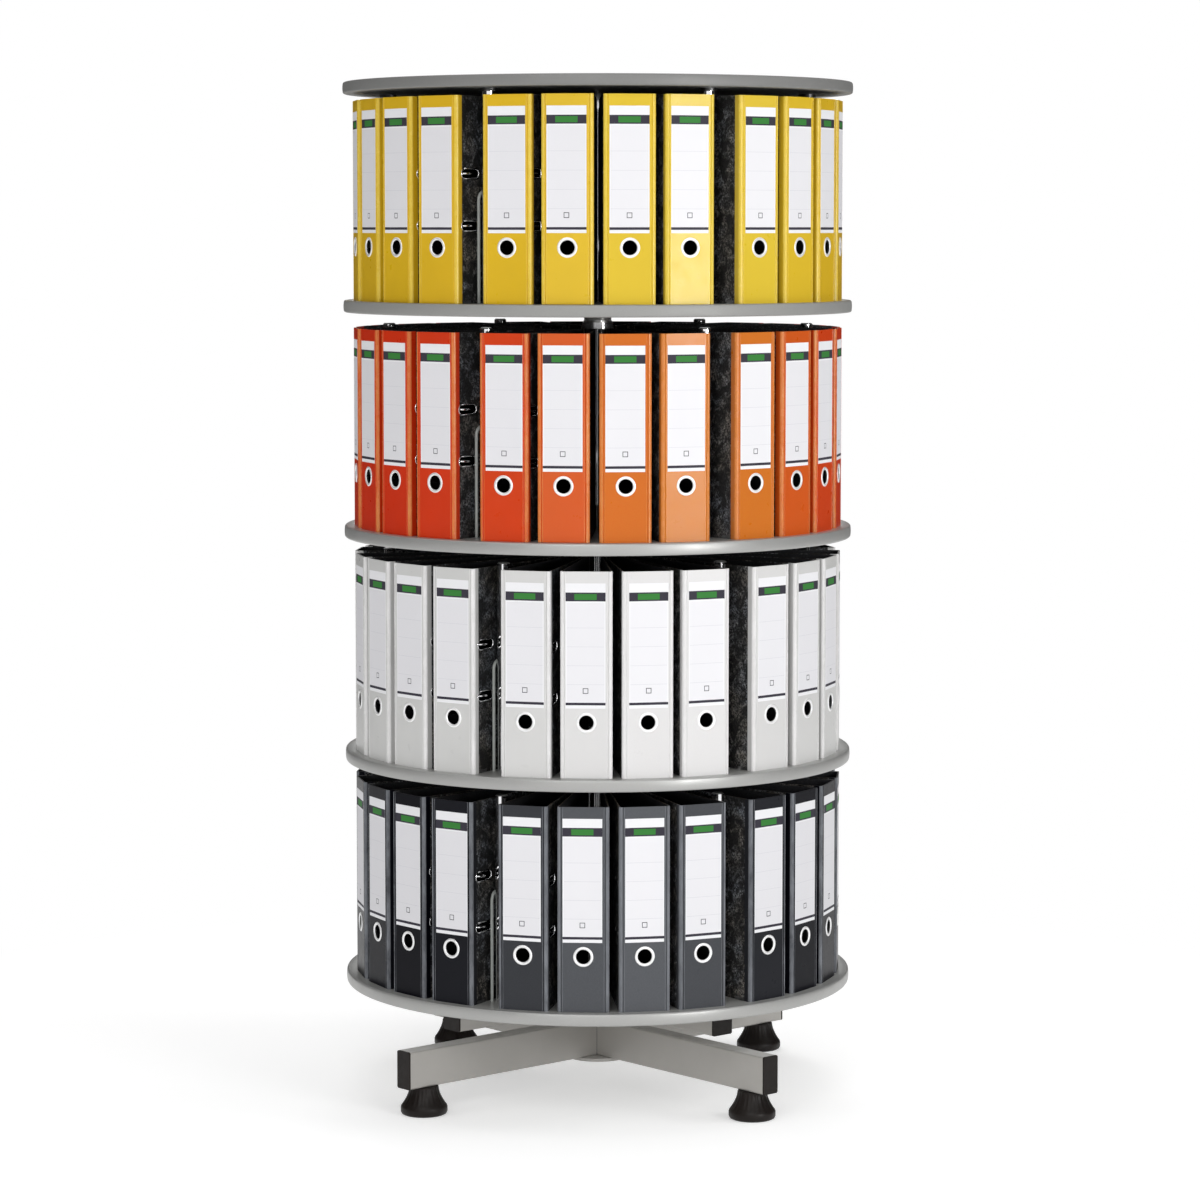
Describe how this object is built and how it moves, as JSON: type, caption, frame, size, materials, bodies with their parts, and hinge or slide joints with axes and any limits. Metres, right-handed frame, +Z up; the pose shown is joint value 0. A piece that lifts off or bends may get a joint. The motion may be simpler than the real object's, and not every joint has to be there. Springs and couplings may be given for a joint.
{
  "type": "rotary filing cabinet",
  "caption": "Free-standing rotary filing cabinet: round shelves of lever arch binders turn one by one on a chrome column over a cross foot with levelling glides.",
  "frame": {"origin": "on the floor, on the column's axis", "axes": "+Z up the column, -Y towards the front"},
  "size_m": [0.82, 0.82, 1.626],
  "materials": {
    "silver_paint": "smooth warm silver powder coat",
    "silver_board": "chipboard faced with silver grey melamine",
    "silver_edge": "rounded silver grey edge band",
    "black_plastic": "moulded, satin",
    "white_plastic": "low friction bush plastic",
    "zinc_steel": "zinc plated",
    "dark_steel": "blackened",
    "chrome": "polished",
    "grey_wire": "light grey powder coat",
    "black_card": "board with a black paper spine and black marbled covers",
    "grey_card": "board with a light grey paper spine and black marbled covers",
    "red_card": "board with a red paper spine and black marbled covers",
    "yellow_card": "board with a yellow paper spine and black marbled covers"
  },
  "bodies": {
    "base": {"base_long_beam": "silver_paint", "base_half_arms": "silver_paint", "beam_end_caps": "black_plastic", "foot_bushes": "zinc_steel", "base_hub_plate": "silver_paint", "column_socket": "silver_paint", "column_plug": "zinc_steel", "column_bolt": "zinc_steel", "column_tube": "chrome", "thrust_washers": "zinc_steel", "stop_collars": "zinc_steel", "collar_screws": "dark_steel"},
    "foot_front_right": {"foot_bell_front_right": "black_plastic", "foot_stem_front_right": "zinc_steel"},
    "foot_rear_right": {"foot_bell_rear_right": "black_plastic", "foot_stem_rear_right": "zinc_steel"},
    "foot_rear_left": {"foot_bell_rear_left": "black_plastic", "foot_stem_rear_left": "zinc_steel"},
    "foot_front_left": {"foot_bell_front_left": "black_plastic", "foot_stem_front_left": "zinc_steel"},
    "tier1": {"shelf_board_tier1": "silver_board", "edge_band_tier1": "silver_edge", "hub_tier1": "silver_paint", "hub_bushes_tier1": "white_plastic", "carrier_arms": "silver_paint", "carrier_end_caps": "black_plastic", "carrier_screws": "zinc_steel", "posts_tier1": "chrome", "wire_dividers_tier1": "grey_wire", "binders_tier1": "black_card"},
    "binder1": {"pull_out_binder_tier1": "black_card"},
    "tier2": {"shelf_board_tier2": "silver_board", "edge_band_tier2": "silver_edge", "hub_tier2": "silver_paint", "hub_bushes_tier2": "white_plastic", "hub_screws_tier2": "zinc_steel", "posts_tier2": "chrome", "wire_dividers_tier2": "grey_wire", "binders_tier2": "grey_card"},
    "binder2": {"pull_out_binder_tier2": "grey_card"},
    "tier3": {"shelf_board_tier3": "silver_board", "edge_band_tier3": "silver_edge", "hub_tier3": "silver_paint", "hub_bushes_tier3": "white_plastic", "hub_screws_tier3": "zinc_steel", "posts_tier3": "chrome", "wire_dividers_tier3": "grey_wire", "binders_tier3": "red_card"},
    "binder3": {"pull_out_binder_tier3": "red_card"},
    "tier4": {"shelf_board_tier4": "silver_board", "edge_band_tier4": "silver_edge", "hub_tier4": "silver_paint", "hub_bushes_tier4": "white_plastic", "hub_screws_tier4": "zinc_steel", "posts_tier4": "chrome", "wire_dividers_tier4": "grey_wire", "binders_tier4": "yellow_card", "cover_plate": "silver_board", "cover_rosettes": "chrome"},
    "binder4": {"pull_out_binder_tier4": "yellow_card"}
  },
  "joints": [
    {"name": "tier1_spin", "type": "hinge", "parent": "base", "child": "tier1", "pos_m": [0, 0, 0.192], "axis": [0, 0, 1], "continuous": true},
    {"name": "tier2_spin", "type": "hinge", "parent": "base", "child": "tier2", "pos_m": [0, 0, 0.554], "axis": [0, 0, 1], "continuous": true},
    {"name": "tier3_spin", "type": "hinge", "parent": "base", "child": "tier3", "pos_m": [0, 0, 0.916], "axis": [0, 0, 1], "continuous": true},
    {"name": "tier4_spin", "type": "hinge", "parent": "base", "child": "tier4", "pos_m": [0, 0, 1.278], "axis": [0, 0, 1], "continuous": true},
    {"name": "binder1_pull", "type": "slide", "parent": "tier1", "child": "binder1", "axis": [-0.0567, -0.9984, 0], "range_m": [0, 0.25]},
    {"name": "binder2_pull", "type": "slide", "parent": "tier2", "child": "binder2", "axis": [-0.0445, -0.999, 0], "range_m": [0, 0.25]},
    {"name": "binder3_pull", "type": "slide", "parent": "tier3", "child": "binder3", "axis": [-0.1331, -0.9911, 0], "range_m": [0, 0.25]},
    {"name": "binder4_pull", "type": "slide", "parent": "tier4", "child": "binder4", "axis": [-0.1175, -0.9931, 0], "range_m": [0, 0.25]},
    {"name": "foot_front_right_level", "type": "slide", "parent": "base", "child": "foot_front_right", "axis": [0, 0, 1], "range_m": [-0.02, 0]},
    {"name": "foot_rear_right_level", "type": "slide", "parent": "base", "child": "foot_rear_right", "axis": [0, 0, 1], "range_m": [-0.02, 0]},
    {"name": "foot_rear_left_level", "type": "slide", "parent": "base", "child": "foot_rear_left", "axis": [0, 0, 1], "range_m": [-0.02, 0]},
    {"name": "foot_front_left_level", "type": "slide", "parent": "base", "child": "foot_front_left", "axis": [0, 0, 1], "range_m": [-0.02, 0]}
  ]
}
